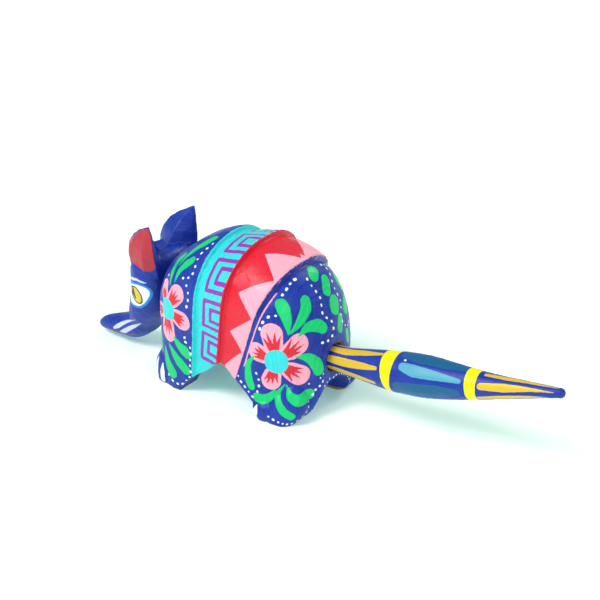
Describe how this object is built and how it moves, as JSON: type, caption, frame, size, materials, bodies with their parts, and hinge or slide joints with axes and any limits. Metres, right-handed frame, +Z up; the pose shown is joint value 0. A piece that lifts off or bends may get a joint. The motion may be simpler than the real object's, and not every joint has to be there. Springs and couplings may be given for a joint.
{
  "type": "armadillo alebrije figure",
  "caption": "Carved and painted wooden armadillo figure with a lapped shell; the head and tail nod on nails hidden in the body and are balanced by inner weights.",
  "frame": {"origin": "on the ground, midway between the snout's tip and the tail's tip, between the left and right feet", "axes": "+X towards the tail, +Y towards the animal's right side, +Z up"},
  "size_m": [0.1555, 0.039, 0.0474],
  "materials": {
    "painted_body": "satin",
    "painted_head": "satin",
    "painted_tail": "satin",
    "plug_wood": "matte",
    "nail_steel": "satin",
    "slug_steel": "satin"
  },
  "bodies": {
    "carved_body": {"body": "painted_body", "head_hanger_pin": "nail_steel", "head_pin_plug": "plug_wood", "tail_pivot_pin": "nail_steel", "tail_pin_plug": "plug_wood"},
    "nodding_head": {"head": "painted_head", "head_hanger_loop": "nail_steel", "head_counterweight": "slug_steel", "head_weight_nail": "nail_steel"},
    "nodding_tail": {"tail": "painted_tail", "tail_counterweight": "slug_steel", "tail_weight_nail": "nail_steel"}
  },
  "joints": [
    {"name": "head_nod", "type": "hinge", "parent": "carved_body", "child": "nodding_head", "pos_m": [-0.037, 0, 0.0295], "axis": [0, 1, 0], "range_deg": [-1.2, 4]},
    {"name": "tail_nod", "type": "hinge", "parent": "carved_body", "child": "nodding_tail", "pos_m": [0.0082, 0, 0.0169], "axis": [0, -1, 0], "range_deg": [-2, 2]}
  ]
}
